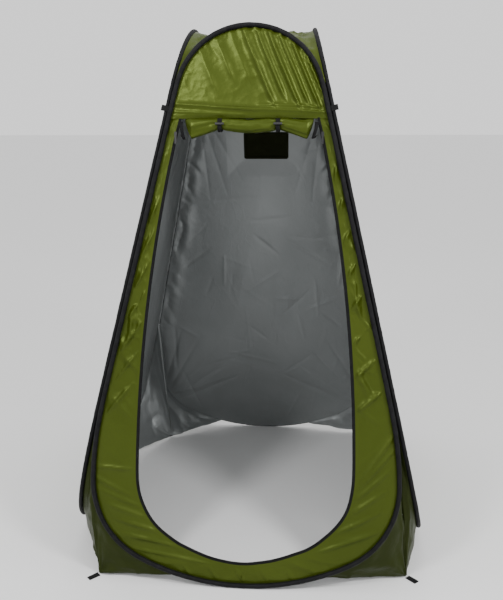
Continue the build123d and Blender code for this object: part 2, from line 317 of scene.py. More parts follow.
def make_cloth(piece, outside, inside, thickness=CLOTH):
    """Gives a sheet its thickness, with one material outside and another inside."""
    piece.data.materials.append(outside)
    piece.data.materials.append(inside)
    solid = piece.modifiers.new("thickness", "SOLIDIFY")
    solid.thickness = thickness
    solid.offset = 0.0
    solid.material_offset = 1
    solid.material_offset_rim = 0
    bake_modifiers(piece)


def flat_of(u, v, edge):
    """The flat attribute: place on the cloth, and distance from its nearest sewn edge."""
    u, v, edge = np.broadcast_arrays(u, v, edge)
    return np.stack([u, v, edge], axis=-1)


def grid_area(points):
    """Area of a grid of points."""
    a = points[1:, :-1] - points[:-1, :-1]
    b = points[:-1, 1:] - points[:-1, :-1]
    return float(np.linalg.norm(np.cross(a, b), axis=-1).sum())


# ======== materials ========

def new_material(name, colour, roughness, metallic=0.0, sheen=0.0, specular=0.5):
    """A principled material with its plain values set on the shader."""
    material = bpy.data.materials.new(name)
    material.use_nodes = True
    shader = material.node_tree.nodes["Principled BSDF"]
    shader.inputs["Base Color"].default_value = (*colour, 1.0)
    shader.inputs["Roughness"].default_value = roughness
    shader.inputs["Metallic"].default_value = metallic
    shader.inputs["Sheen Weight"].default_value = sheen
    shader.inputs["Specular IOR Level"].default_value = specular
    return material


def link(material, source, output, target, socket):
    material.node_tree.links.new(source.outputs[output], target.inputs[socket])


def add_node(material, kind, **values):
    """A node with some of its values set: sockets by name, settings in lower case."""
    node = material.node_tree.nodes.new(kind)
    for key, value in values.items():
        if hasattr(node, key):
            setattr(node, key, value)
        else:
            node.inputs[key.replace("_", " ")].default_value = value
    return node


def flat_place(material):
    """The cloth's own coordinates."""
    place = add_node(material, "ShaderNodeAttribute", attribute_name="flat")
    mapping = add_node(material, "ShaderNodeMapping")
    link(material, place, "Vector", mapping, "Vector")
    return mapping


def vary_colour(material, dark, light, mapping, scale):
    """Soft variation between two colours."""
    noise = add_node(material, "ShaderNodeTexNoise", Scale=scale, Detail=6.0)
    ramp = add_node(material, "ShaderNodeValToRGB")
    ramp.color_ramp.elements[0].position = 0.35
    ramp.color_ramp.elements[0].color = (*dark, 1.0)
    ramp.color_ramp.elements[1].position = 0.65
    ramp.color_ramp.elements[1].color = (*light, 1.0)
    link(material, mapping, "Vector", noise, "Vector")
    link(material, noise, "Fac", ramp, "Fac")
    link(material, ramp, "Color", material.node_tree.nodes["Principled BSDF"], "Base Color")


def taffeta(name, dark, light, roughness, metallic=0.0, crease=0.35, specular=0.5):
    """Coated taffeta: a fine weave, crease memory lines and soft colour variation."""
    material = new_material(name, light, roughness, metallic, specular=specular)
    shader = material.node_tree.nodes["Principled BSDF"]
    place = flat_place(material)
    vary_colour(material, dark, light, place, 3.0)
    lines = add_node(material, "ShaderNodeTexVoronoi", feature="DISTANCE_TO_EDGE", Scale=11.0)
    warp = add_node(material, "ShaderNodeTexNoise", Scale=6.0, Detail=3.0)
    mixed = add_node(material, "ShaderNodeMix", data_type="VECTOR")
    mixed.inputs["Factor"].default_value = 0.12
    link(material, place, "Vector", warp, "Vector")
    material.node_tree.links.new(place.outputs["Vector"], mixed.inputs[4])
    material.node_tree.links.new(warp.outputs["Color"], mixed.inputs[5])
    material.node_tree.links.new(mixed.outputs[1], lines.inputs["Vector"])
    edge = add_node(material, "ShaderNodeMapRange", interpolation_type="SMOOTHSTEP")
    edge.inputs["From Max"].default_value = 0.10
    edge.inputs["To Min"].default_value = 1.0
    edge.inputs["To Max"].default_value = 0.0
    link(material, lines, "Distance", edge, "Value")
    fine = add_node(material, "ShaderNodeTexNoise", Scale=55.0, Detail=5.0)
    link(material, place, "Vector", fine, "Vector")
    weave = add_node(material, "ShaderNodeTexWave", Scale=260.0, Distortion=0.4)
    link(material, place, "Vector", weave, "Vector")
    bumps = (
        (edge, "Result", crease, 0.004),
        (fine, "Fac", 0.22, 0.002),
        (weave, "Fac", 0.10, 0.0003),
    )
    before = None
    for source, output, strength, distance in bumps:
        bump = add_node(material, "ShaderNodeBump", Strength=strength, Distance=distance)
        link(material, source, output, bump, "Height")
        if before is not None:
            link(material, before, "Normal", bump, "Normal")
        before = bump
    link(material, before, "Normal", shader, "Normal")
    return material


def woven(name, dark, light, roughness, pitch):
    """Black woven tape or webbing with a visible rib."""
    material = new_material(name, light, roughness, sheen=0.01, specular=0.15)
    shader = material.node_tree.nodes["Principled BSDF"]
    place = flat_place(material)
    vary_colour(material, dark, light, place, 60.0)
    rib = add_node(material, "ShaderNodeTexWave", Scale=pitch, Distortion=0.6)
    rib.bands_direction = "Y"
    link(material, place, "Vector", rib, "Vector")
    bump = add_node(material, "ShaderNodeBump", Strength=0.5, Distance=0.0008)
    link(material, rib, "Fac", bump, "Height")
    link(material, bump, "Normal", shader, "Normal")
    return material


GREEN_DARK = (0.043, 0.060, 0.0052)
GREEN_LIGHT = (0.052, 0.071, 0.0070)
GREEN = taffeta("green_taffeta", GREEN_DARK, GREEN_LIGHT, 0.38, metallic=0.40, crease=0.05, specular=0.14)
SHADE_GREEN = taffeta("gusset_taffeta", (0.017, 0.023, 0.0030), (0.022, 0.030, 0.0040), 0.44, metallic=0.30,
                      crease=0.08, specular=0.12)
SILVER = taffeta("silver_coating", (0.215, 0.228, 0.228), (0.245, 0.259, 0.259), 0.40, metallic=0.45,
                 crease=0.04, specular=0.35)
SLEEVE = woven("sleeve_fabric", (0.002, 0.002, 0.0025), (0.006, 0.006, 0.007), 0.62, 90.0)
TAPE = woven("zip_tape", (0.002, 0.002, 0.002), (0.005, 0.005, 0.0055), 0.7, 300.0)
WEBBING = woven("webbing", (0.002, 0.002, 0.002), (0.006, 0.006, 0.0065), 0.66, 260.0)
NETTING = taffeta("netting", (0.008, 0.0095, 0.002), (0.013, 0.015, 0.0035), 0.8, crease=0.05, specular=0.1)
FLAP = taffeta("flap_taffeta", GREEN_DARK, GREEN_LIGHT, 0.40, metallic=0.4, crease=0.1, specular=0.14)


def plain(name, colour, roughness, metallic=0.0):
    """Metal or plastic with a fine grain."""
    material = new_material(name, colour, roughness, metallic)
    shader = material.node_tree.nodes["Principled BSDF"]
    place = add_node(material, "ShaderNodeTexCoord")
    grain = add_node(material, "ShaderNodeTexNoise", Scale=400.0, Detail=4.0)
    link(material, place, "Object", grain, "Vector")
    rough = add_node(material, "ShaderNodeMapRange")
    rough.inputs["To Min"].default_value = roughness * 0.8
    rough.inputs["To Max"].default_value = min(1.0, roughness * 1.25)
    link(material, grain, "Fac", rough, "Value")
    link(material, rough, "Result", shader, "Roughness")
    bump = add_node(material, "ShaderNodeBump", Strength=0.15, Distance=0.0004)
    link(material, grain, "Fac", bump, "Height")
    link(material, bump, "Normal", shader, "Normal")
    return material


STEEL = plain("spring_steel", (0.45, 0.45, 0.46), 0.32, metallic=1.0)
BLACK_METAL = plain("zip_enamel", (0.012, 0.012, 0.013), 0.38, metallic=0.3)
BLACK_PLASTIC = plain("toggle_plastic", (0.014, 0.014, 0.015), 0.42)


def repaint(node, material):
    """Gives a CAD node a finished material."""
    for entry in frame["nodes"][node].material_slots:
        entry.material = material


# ======== walls ========

def wall_grid(low, high, rows, columns):
    """Across and up of a grid that fills a hoop between two heights, closer at its ends."""
    share = (1 - np.cos(np.linspace(0, math.pi, rows))) / 2
    blend = 0.6 * share + 0.4 * np.linspace(0, 1, rows)
    up = low + (high - low) * blend
    up = np.repeat(up[:, None], columns, axis=1)
    side = np.linspace(-1, 1, columns)[None, :]
    return side * half_width(up), up


def edge_gap(across, up):
    """Distance from the hoop."""
    flat = np.stack([across.ravel(), up.ravel()], axis=1)
    ring = HOOP[::6]
    gaps = [np.linalg.norm(part[:, None, :] - ring[None], axis=2).min(axis=1)
            for part in np.array_split(flat, max(1, len(flat) // 4000))]
    return np.concatenate(gaps).reshape(across.shape)


def wall_shape(across, up, gap, seed):
    """How far a side wall stands out of its plane: hollow, drag folds and creases."""
    hold = np.clip(gap / 0.10, 0, 1)
    calm = hold * hold * (3 - 2 * hold)
    hollow = -0.016 * np.clip(gap / 0.35, 0, 1)
    height = (up - HOOP_FOOT) / (HOOP_PEAK - HOOP_FOOT)
    pucker = 0.0022 * ridges(gap / 0.09, up / 0.022, seed) * np.exp(-gap / 0.05)
    pucker = pucker * np.clip((gap - 0.008) / 0.012, 0, 1)
    lumps = 0.0022 * crumple(across, up * 0.6, 0.22, seed + 3) * calm * (0.35 + 0.65 * np.abs(height - 0.45))
    memory = 0.0032 * random_creases(across, up, 110, 0.28, seed + 9, (-0.5, 0.1, 0.5, 1.8)) * calm
    ladder = 0.0080 * (ridges((up + 0.7 * gap) / 0.052, gap / 0.12, seed + 12) - 0.2)
    ladder = ladder * np.exp(-((gap - 0.03) / 0.035)**2)
    pucker = pucker + ladder * np.clip((up - 0.5) / 0.3, 0, 1) * np.clip((gap - 0.010) / 0.014, 0, 1)
    roll = -0.005 * np.exp(-((gap - 0.048) / 0.024)**2) * np.clip((up - 0.45) / 0.3, 0, 1)
    hollow = hollow + roll
    drag = np.zeros_like(up)
    for hand in (-1, 1):
        corner = (hand * 0.56, 0.10)
        for step in range(6):
            angle = math.radians(28 + 11 * step)
            tip = (corner[0] - hand * 0.52 * math.cos(angle), corner[1] + 0.52 * math.sin(angle))
            drag += fold_line(across, up, corner, tip, 0.012, 0.0036)
        top = (hand * 0.26, HOOP_PEAK - 0.26)
        for step in range(4):
            angle = math.radians(35 + 16 * step)
            tip = (top[0] - hand * 0.3 * math.cos(angle), top[1] - 0.45 * math.sin(angle))
            drag += fold_line(across, up, top, tip, 0.008, 0.0012)
    out = hollow + pucker + lumps + memory + drag * np.clip(gap / 0.03, 0, 1)
    return np.maximum(out, -FOLD_ROOM * (gap + 0.004))


def make_wall(side, node, seed, hole=None):
    """One whole wall, green outside and silver inside."""
    rows, columns = int(WALL_TALL / CELL), int(WALL_WIDE / CELL)
    across, up = wall_grid(HOOP_FOOT + 0.0005, HOOP_PEAK - 0.0005, rows, columns)
    gap = edge_gap(across, up)
    out = wall_shape(across, up, gap, seed)
    keep = None
    if hole is not None:
        middle_u = (across[1:, 1:] + across[:-1, :-1]) / 2
        middle_v = (up[1:, 1:] + up[:-1, :-1]) / 2
        inside = (middle_u > hole[0]) & (middle_u < hole[2]) & (middle_v > hole[1]) & (middle_v < hole[3])
        keep = ~inside
        away = np.maximum.reduce([hole[0] - across, across - hole[2], hole[1] - up, up - hole[3]])
        near = np.clip(away / 0.08, 0, 1)
        out = out * near
    points = wall_points(side, across, up, out)
    piece = grid_object(node + "_cloth", points, flat_of(across, up, gap), keep)
    make_cloth(piece, GREEN, SILVER)
    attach(piece, side)
    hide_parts(node)
    area = grid_area(wall_points(side, across, up, 0 * up))


def make_top_panel():
    """The front wall above the doorway, with folds that fan down from the hoop."""
    columns, rows = 190, 96
    limit = float(half_width(DOOR_TOP)) - 0.0005
    across = np.repeat(np.linspace(-limit, limit, columns)[None, :], rows, axis=0)
    right = HOOP[(HOOP[:, 0] >= 0) & (HOOP[:, 1] > DOOR_TOP - 0.05)]
    right = right[np.argsort(right[:, 0])]
    top = np.interp(np.abs(across[0]), right[:, 0], right[:, 1])
    share = np.linspace(0, 1, rows)[:, None]
    low = DOOR_TOP - 0.004
    up = low + (np.maximum(top, low + 0.002)[None, :] - low) * share
    gap = edge_gap(across, up)
    out = top_shape(across, up, gap)
    points = wall_points("front", across, up, out)
    piece = grid_object("front_top_cloth", points, flat_of(across, up, gap))
    make_cloth(piece, GREEN, SILVER)
    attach(piece, "front")
    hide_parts("front_top_panel")
    area = grid_area(wall_points("front", across, up, 0 * up))


# Top panel pleats: where each crosses the seam, its height and width, and where above the seam it starts.
TOP_PLEATS = (
    (-0.175, 0.002, 0.012, 0.06), (-0.075, 0.006, 0.018, 0.06), (0.000, 0.006, 0.012, 0.10),
    (0.055, 0.004, 0.012, 0.10), (0.105, 0.013, 0.011, 0.02), (0.150, 0.012, 0.009, 0.04),
    (0.187, 0.015, 0.009, 0.01), (0.222, 0.012, 0.008, 0.02), (0.254, 0.014, 0.008, 0.01),
    (0.284, 0.012, 0.007, 0.01), (0.314, 0.010, 0.007, 0.02),
)
PLEAT_LEAN = 0.42          # how far a pleat moves across for each metre up


def top_shape(across, up, gap):
    """Folds of the top panel: pleats that lean to the left as they rise, and level folds along the seam."""
    above = up - DOOR_TOP
    wander = 0.003 * lattice_noise(above / 0.11, across / 0.3, 24)
    crossing = across + PLEAT_LEAN * above + wander
    pleats = np.zeros_like(up)
    for place, height, width, start in TOP_PLEATS:
        aside = np.abs(crossing - place) / (width * (0.6 + 0.9 * np.clip(above / 0.3, 0, 1)))
        pleats += height * np.exp(-aside**1.3) * np.clip((above - start) / 0.05, 0, 1)
    level = np.zeros_like(up)
    for start, end, width, height in (
        ((-0.30, 0.050), (0.04, 0.022), 0.010, 0.010),
        ((-0.14, 0.034), (0.29, 0.016), 0.008, 0.010),
        ((-0.28, 0.022), (0.00, 0.008), 0.006, 0.005),
        ((0.02, 0.044), (0.27, 0.034), 0.007, 0.006),
    ):
        level += fold_line(across, above, start, end, width, height)
    fan = np.arctan2(across, up - DOOR_TOP - 0.05) * 16
    pucker = 0.0028 * ridges(fan, gap / 0.05, 31) * np.exp(-gap / 0.025)
    belly = 0.008 * np.clip(gap / 0.10, 0, 1)
    small = 0.0012 * crumple(across, up, 0.06, 41) * np.clip(gap / 0.03, 0, 1)
    hold = np.clip(gap / 0.020, 0, 1)
    seam = np.clip((above + 0.004) / 0.012, 0, 1)
    return (pleats + level + belly + small) * hold * seam + pucker * np.clip(gap / 0.012, 0, 1)


def make_surround():
    """The front wall round the doorway, in one piece from seam to seam."""
    count, columns = 760, 34
    inner = smooth_ring(DOORWAY, count - 1, 0.01, closed=False)
    steps = running_length(inner)
    outer = outer_edge(inner)
    share = np.linspace(0, 1, columns)[None, :]
    width = np.linalg.norm(outer - inner, axis=1)[:, None]
    across = inner[:, :1] + (outer[:, :1] - inner[:, :1]) * share
    up = inner[:, 1:] + (outer[:, 1:] - inner[:, 1:]) * share
    out, slip = surround_shape(steps[:, None], share, width, across, up)
    direction = (outer - inner) / width
    across = across + direction[:, :1] * slip
    up = up + direction[:, 1:] * slip
    gap = np.minimum(share, 1 - share) * width
    points = wall_points("front", across, up, out)
    piece = grid_object("doorway_surround_cloth", points, flat_of(steps[:, None], share * width, gap))
    make_cloth(piece, GREEN, SILVER)
    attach(piece, "front")
    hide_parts("doorway_side_left", "doorway_side_right", "doorway_sill")
    grid_area(wall_points("front", across, up, 0 * up))
    return points, direction


def outer_edge(inner):
    """The point of the hoop that faces each point of the doorway's edge."""
    left = HOOP[HOOP[:, 0] <= 0]
    right = HOOP[HOOP[:, 0] >= 0]
    left = left[np.argsort(-left[:, 1])]
    right = right[np.argsort(right[:, 1])]
    ring = np.vstack([left, right])
    ring = ring[ring[:, 1] <= DOOR_TOP + 0.001]
    even = smooth_ring(ring, 1400, 0.01, closed=False)
    normal = np.gradient(inner, axis=0)
    normal = unit(np.stack([normal[:, 1], -normal[:, 0]], axis=1))
    found = []
    for point, way in zip(inner, normal):
        ray = even - point
        aside = np.abs(ray[:, 0] * way[1] - ray[:, 1] * way[0])
        ahead = ray @ way
        aside = np.where(ahead > 0, aside, 9.0)
        found.append(int(np.argmin(aside)))
    index = np.maximum.accumulate(np.array(found))
    index[0], index[-1] = 0, len(even) - 1
    reach = 25
    padded = np.concatenate([np.full(reach, index[0]), index, np.full(reach, index[-1])]).astype(float)
    smooth = np.convolve(padded, np.ones(2 * reach + 1) / (2 * reach + 1), mode="valid")
    smooth[0], smooth[-1] = 0, len(even) - 1
    place = np.arange(len(even))
    return np.stack([np.interp(smooth, place, even[:, axis]) for axis in (0, 1)], axis=1)


# Tension folds beside the doorway: start and end (across, up), width and height.
SURROUND_FOLDS = (
    [((-0.545, 0.412), (-0.385, 0.402), 0.007, 0.009)]
    + [((-0.555 + 0.03 * k, 0.385 - 0.052 * k), (-0.385 + 0.055 * k, 0.300 - 0.045 * k), 0.007, 0.008)
       for k in range(6)]
    + [((0.250 + 0.030 * k, 0.130 + 0.050 * k), (0.470 + 0.012 * k, 0.215 + 0.072 * k), 0.008, 0.009)
       for k in range(6)]
    + [((-0.300 + 0.09 * k, 0.070), (-0.265 + 0.09 * k, 0.015), 0.006, 0.005) for k in range(7)]
    + [((0.375 - 0.012 * k, 0.62 + 0.11 * k), (0.470 - 0.024 * k, 0.70 + 0.11 * k), 0.008, 0.012)
       for k in range(8)]
    + [((0.465 - 0.024 * k, 0.58 + 0.11 * k), (0.380 - 0.012 * k, 0.65 + 0.11 * k), 0.007, 0.004)
       for k in range(5)]
    + [((-0.485 + 0.023 * k, 0.60 + 0.11 * k), (-0.395 + 0.016 * k, 0.71 + 0.11 * k), 0.008, 0.012)
       for k in range(7)]
    + [((-0.390 + 0.016 * k, 0.57 + 0.11 * k), (-0.470 + 0.023 * k, 0.66 + 0.11 * k), 0.007, 0.004)
       for k in range(6)]
)


def surround_shape(along, share, width, across, up):
    """How far the cloth round the doorway stands out, and how its free edge waves."""
    body = np.sin(np.pi * np.clip(share, 0, 1))**0.7
    upper = np.clip((up - 0.55) / 0.35, 0, 1)
    high = np.clip((up - 1.30) / 0.20, 0, 1)
    corner = np.exp(-((up - 0.22) / 0.22)**2)
    skewed = along + np.sign(across) * -0.9 * share * width
    straight = 0.0075 * (ridges(skewed / 0.065, share * 0.6, 61) - 0.5) * corner
    facets = 0.020 * crumple(along + 0.7 * share * width, share * width * 1.2, 0.11, 62)
    facets = facets * upper * (1 - 0.3 * high)
    facets = facets + 0.0018 * crumple(along, share * width, 0.035, 66) * (0.35 + 0.65 * upper)
    facets = facets * np.clip(width / 0.11, 0.25, 1)
    slant = along + np.where(share < 0.5, 1, -1) * share * width * 1.4
    zigzag = 0.014 * np.clip(width / 0.11, 0.3, 1) * np.abs((slant / 0.13) % 1 - 0.5) * upper
    fine = 0.0012 * ridges(along / 0.026, share * 1.5, 63) * high
    near_edge = np.exp(-np.minimum(share, 1 - share) * width / 0.012)
    pucker = 0.0022 * ridges(along / 0.018, share * 3, 64) * near_edge
    belly = 0.006 * np.clip(width / 0.2, 0, 1)
    from_edge = share * width
    hold = np.clip((1 - share) * width / 0.014, 0, 1) * np.clip(0.1 + (from_edge - 0.010) / 0.03, 0.1, 1)
    ends = np.clip((DOOR_TOP - up) / 0.02, 0.15, 1)
    drawn = sum(fold_line(across, up, *fold) for fold in SURROUND_FOLDS)
    edge_in = np.clip((1 - share) * width / 0.02, 0, 1) * np.clip((from_edge - 0.010) / 0.015, 0, 1)
    out = (((straight + facets + zigzag + fine + belly) * body + pucker) * hold + drawn * edge_in) * ends
    out = np.maximum(out, -0.1 * FOLD_ROOM * (1 - share) * width)
    low = np.clip((0.45 - up) / 0.25, 0, 1)
    wave = 0.006 * lattice_noise(along / 0.085, 0 * along + 0.5, 65) * low
    loose = np.clip(1 - share / 0.4, 0, 1)
    return out, wave * loose


def band_along(name, line, out_way, side_way, width, thick, material):
    """A flattened tape round a line: out_way and side_way are unit vectors at each point."""
    turn = np.linspace(0, 2 * math.pi, 10, endpoint=False)
    cos = np.sign(np.cos(turn)) * np.abs(np.cos(turn))**0.6
    sin = np.sign(np.sin(turn)) * np.abs(np.sin(turn))**0.6
    points = (line[:, None, :] + side_way[:, None, :] * (cos * width / 2)[None, :, None]
              + out_way[:, None, :] * (sin * thick / 2)[None, :, None])
    length = running_length(line)
    flat = flat_of(cos[None, :] * width, length[:, None], 0.01)
    piece = grid_object(name, points, flat, wrap=True)
    cap_ends(piece)
    piece.data.materials.append(material)
    return piece


def cap_ends(piece):
    """Closes a tube's open ends."""
    work = bmesh.new()
    work.from_mesh(piece.data)
    open_edges = [edge for edge in work.edges if edge.is_boundary]
    if open_edges:
        bmesh.ops.holes_fill(work, edges=open_edges, sides=0)
    bmesh.ops.recalc_face_normals(work, faces=work.faces)
    work.to_mesh(piece.data)
    work.free()
    shade_smooth(piece)


def make_zip_tape(points, direction):
    """The black tape that binds the doorway's edge, from seam to seam."""
    side_way = wall_way("front", direction[:, 0], direction[:, 1], 0.0)
    out_way = np.broadcast_to(wall_way("front", 0.0, 0.0, 1.0), side_way.shape)
    line = points[:, 0] + side_way * (TAPE_WIDTH / 2 - 0.003)
    piece = band_along("zip_tape_binding", line, out_way, side_way, TAPE_WIDTH, TAPE_THICK, TAPE)
    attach(piece, "front")
    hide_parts("zip_tape_left", "zip_tape_foot", "zip_tape_right")


def make_sleeve(side, seed):
    """The black sleeve round a hoop, gathered a little along its length."""
    count, around = HOOP_COUNT, 14
    ring = smooth_ring(HOOP, count, 0.02)
    tangent = unit(np.roll(ring, -1, axis=0) - np.roll(ring, 1, axis=0))
    outward = np.stack([tangent[:, 1], -tangent[:, 0]], axis=1)
    middle = ring.mean(axis=0)
    flip = np.sign(((ring - middle) * outward).sum(axis=1))[:, None]
    outward = outward * flip
    turn = np.linspace(0, 2 * math.pi, around, endpoint=False)
    length = np.arange(count) * np.linalg.norm(ring[1] - ring[0])
    gather = lattice_noise(length[:, None] / 0.017, turn[None, :] * 1.3, seed)
    lean = lattice_noise(length[:, None] / 0.09, turn[None, :] * 0, seed + 1)
    radius = SLEEVE_R * (0.93 + 0.055 * gather + 0.02 * lean)
    cos, sin = np.cos(turn)[None, :], np.sin(turn)[None, :]
    across = ring[:, :1] + outward[:, :1] * radius * cos
    up = ring[:, 1:] + outward[:, 1:] * radius * cos
    out = SLEEVE_OUT + radius * sin
    points = wall_points(side, across, up, out)
    points[..., 2] = np.maximum(points[..., 2], 0.0)
    points = np.concatenate([points, points[:1]], axis=0)
    flat = flat_of(turn[None, :] * SLEEVE_R, np.append(length, length[-1] + length[1])[:, None], 0.01)
    piece = grid_object(side + "_sleeve_cloth", points, flat, wrap=True)
    piece.data.materials.append(SLEEVE)
    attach(piece, side)
    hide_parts(side + "_hoop_sleeve")


# ======== roof and gussets ========

ROOF_COUNT = 61            # points along each side of the roof
ROOF_DROP = 0.203          # how far below a hoop's peak the roof reaches
RELAX_ROUNDS = 3000        # enough for the film to settle
ROOF_LIFT = 5.0e-5         # added in each round, which leaves the middle a little domed


def relax(points, rounds, lift):
    """Pulls a grid tight inside its fixed border, as a soap film is, with a little lift in its middle."""
    points = points.copy()
    for _ in range(rounds):
        points[1:-1, 1:-1] = (points[2:, 1:-1] + points[:-2, 1:-1] + points[1:-1, 2:] + points[1:-1, :-2]) / 4
        points[1:-1, 1:-1, 2] += lift
    return points


def hoop_top(side, count):
    """The bend at the top of a hoop, from its left to its right, at the foot of the sleeve."""
    bend = HOOP[HOOP[:, 1] >= HOOP_PEAK - ROOF_DROP]
    bend = bend[np.argsort(bend[:, 0])]
    even = smooth_ring(bend, count - 1, 0.004, closed=False)
    limit = BASE_HALF - even[:, 1] * SEAM_RATE
    across = np.clip(even[:, 0] * 1.02, -limit, limit)
    return wall_points(side, across, even[:, 1] + 0.001, 0.004)


def tight_roof(count):
    """The roof pulled tight between the four bends. Rows run front to back, columns left to right."""
    front, right, back, left = (hoop_top(side, count) for side in ("front", "right", "back", "left"))
    points = np.zeros((count, count, 3))
    share = np.linspace(0, 1, count)[:, None, None]
    points[:] = front[None] * (1 - share) + back[None, ::-1] * share
    points[0], points[-1] = front, back[::-1]
    points[:, 0], points[:, -1] = left[::-1], right
    corners = ((0, 0, front[0], left[-1]), (0, -1, front[-1], right[0]),
               (-1, -1, right[-1], back[0]), (-1, 0, back[-1], left[0]))
    for i, j, one, other in corners:
        points[i, j] = (one + other) / 2
    return relax(points, RELAX_ROUNDS, ROOF_LIFT)


def make_roof():
    """The roof in two halves, each across one folding corner, that meet at a seam between the other two."""
    count = ROOF_COUNT
    points = tight_roof(count)
    index = np.arange(count)
    nearest = np.minimum(index, index[::-1])
    rim = np.minimum(nearest[:, None], nearest[None, :]) / (count - 1)
    across, deep = points[..., 0], points[..., 1]
    creases = 0.010 * crumple(across, deep, 0.075, 81) + 0.005 * crumple(across, deep, 0.03, 82)
    angle = np.arctan2(deep, across)
    rays = 0.006 * ridges(angle * 5.2, np.hypot(across, deep) * 2, 83)
    points[..., 2] += (creases + rays - 0.012) * np.clip(rim / 0.10, 0, 1)
    scallop = 0.004 * ridges(index / 5.0, index * 0 + 0.3, 84)
    points[1, :, 2] -= scallop
    points[-2, :, 2] -= scallop
    flat = flat_of(across, deep, rim * 0.5)
    for name, first, second, front_half in (("roof_cloth_right", "back", "right", False),
                                            ("roof_cloth_left", "left", "front", True)):
        piece = half_roof(name, points, flat, front_half)
        make_cloth(piece, GREEN, SILVER)
        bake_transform(piece)
        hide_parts("roof_" + first, "roof_" + second)


def half_roof(name, points, flat, front_half):
    """The cells of the roof on one side of the seam from its back left corner to its front right."""
    count = points.shape[0]
    faces = []
    for i in range(count - 1):
        for j in range(count - 1):
            a, b = i * count + j, i * count + j + 1
            c, d = a + count, b + count
            seam = i + j - (count - 2)
            if front_half and seam < 0 or not front_half and seam > 0:
                faces.append((a, b, d, c))
            elif seam == 0:
                faces.append((a, b, c) if front_half else (b, d, c))
    return mesh_object(name, points, flat, faces)


GUSSET_TOP = 0.62          # up the slope, where a gusset ends at the hoop's straight side
GUSSET_END = 0.215         # from the middle of a wall, where a gusset ends at the hoop's foot
SEAM_IN = 0.0005           # seams and gussets start inside the sleeve, this far past its middle
SEAM_OUT = 0.0018          # and this far out from the wall's plane
CORNER_REACH = 0.10        # half the width over which a corner piece turns from one wall to the next


def gusset_edge(side, hand, count):
    """The hoop's lower corner, from the gusset's end at the foot up to the knee."""
    part = HOOP[(HOOP[:, 0] * hand >= GUSSET_END) & (HOOP[:, 1] <= GUSSET_TOP)]
    middle = np.array([hand * 0.235, 0.36])
    angle = np.arctan2(part[:, 1] - middle[1], (part[:, 0] - middle[0]) * hand)
    part = part[np.argsort(angle)]
    even = smooth_ring(part, count - 1, 0.01, closed=False)
    run = np.gradient(even, axis=0)
    inward = np.stack([-run[:, 1], run[:, 0]], axis=1) * hand / np.linalg.norm(run, axis=1)[:, None]
    even = even - inward * SEAM_IN
    return wall_points(side, even[:, 0], even[:, 1], SEAM_OUT)


def make_gusset(name, edges, bodies, nodes, corner, seed):
    """Cloth from the hoop's lower corners down to the ground corner."""
    edge = np.vstack(edges)
    rows, columns = edge.shape[0], 44
    share = np.linspace(0, 0.985, columns)[None, :, None]
    points = edge[:, None, :] * (1 - share) + corner[None, None, :] * share
    length = running_length(edge)
    width = np.linalg.norm(edge - corner, axis=1)
    s, t = length[:, None], share[..., 0]
    outward = np.array([corner[0], corner[1], 0]) / np.hypot(corner[0], corner[1])
    aside = 1.4 * (points @ np.array([-outward[1], outward[0], 0]))
    height = points[..., 2]
    lumps = 0.009 * crumple(aside, height, 0.15, seed) + 0.0018 * crumple(aside, height, 0.05, seed + 1)
    rays = 0.005 * (ridges(s / 0.11, t * 1.2, seed + 2) - 0.4)
    hold = np.clip(t * width[:, None] / 0.03, 0, 1) * np.clip((0.985 - t) / 0.12, 0, 1)
    seam = np.clip(np.abs(np.arange(rows) - (rows - 1) / 2) / 3.0, 0.2, 1)[:, None] if len(edges) > 1 else 1.0
    swell = (lumps + rays) * hold * seam
    points += outward * swell[..., None]
    points[..., 2] = np.maximum(points[..., 2], 0.0022)
    flat = flat_of(s, t * 0.4, hold * 0.03)
    piece = grid_object(name, points, flat)
    make_cloth(piece, SHADE_GREEN, SILVER)
    if len(bodies) > 1:
        blend_corner(piece, bodies, corner)
    else:
        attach(piece, bodies[0])
    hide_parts(*nodes)


# The two walls hinged at each lower corner, and which way across the corner the second one lies.
CORNER_BODIES = {"front_left": ("left", "front"), "back_left": ("back", "left"),
                 "back_right": ("back", "right")}
BLEND_TURN = {("left", "front"): 90, ("back", "left"): 90, ("back", "right"): -90}


def blend_corner(piece, bodies, corner):
    """Works out the turn across the corner of two walls, then only bakes the piece's transform into its mesh:
    the piece is not bent and does not turn with either wall.
    """
    turn = math.degrees(math.atan2(corner[1], corner[0])) + BLEND_TURN[bodies]
    way = turned(np.array([CORNER_REACH, 0.0, 0.0]), turn)
    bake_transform(piece)


def ground_corner(place):
    """Where a gusset's tip meets its stake tab."""
    tab = node_points("stake_tab_" + place)
    way = np.array([-1 if "left" in place else 1, -1 if "front" in place else 1, 0]) / math.sqrt(2)
    reach = tab @ way
    point = tab[reach < reach.min() + 0.0005].mean(axis=0) - 0.002 * way
    point[2] = 0.004
    return point


def make_gussets():
    count = 40
    spots = {"front_left": ("left", 1, "front", -1), "back_left": ("back", 1, "left", -1),
             "back_right": ("right", 1, "back", -1), "front_right": ("front", 1, "right", -1)}
    for seed, (place, (one, hand_one, other, hand_other)) in enumerate(spots.items()):
        point = ground_corner(place)
        low_up = gusset_edge(one, hand_one, count)
        up_low = gusset_edge(other, hand_other, count)[::-1]
        names = {one: "gusset_" + place + "_on_" + one, other: "gusset_" + place + "_on_" + other}
        if place == "front_right":
            make_gusset("gusset_cloth_front_right_a", [low_up], (one,), (names[one],), point, 100)
            make_gusset("gusset_cloth_front_right_b", [up_low], (other,), (names[other],), point, 104)
            continue
        make_gusset("gusset_cloth_" + place, [low_up, up_low], CORNER_BODIES[place], tuple(names.values()),
                    point, 108 + 5 * seed)


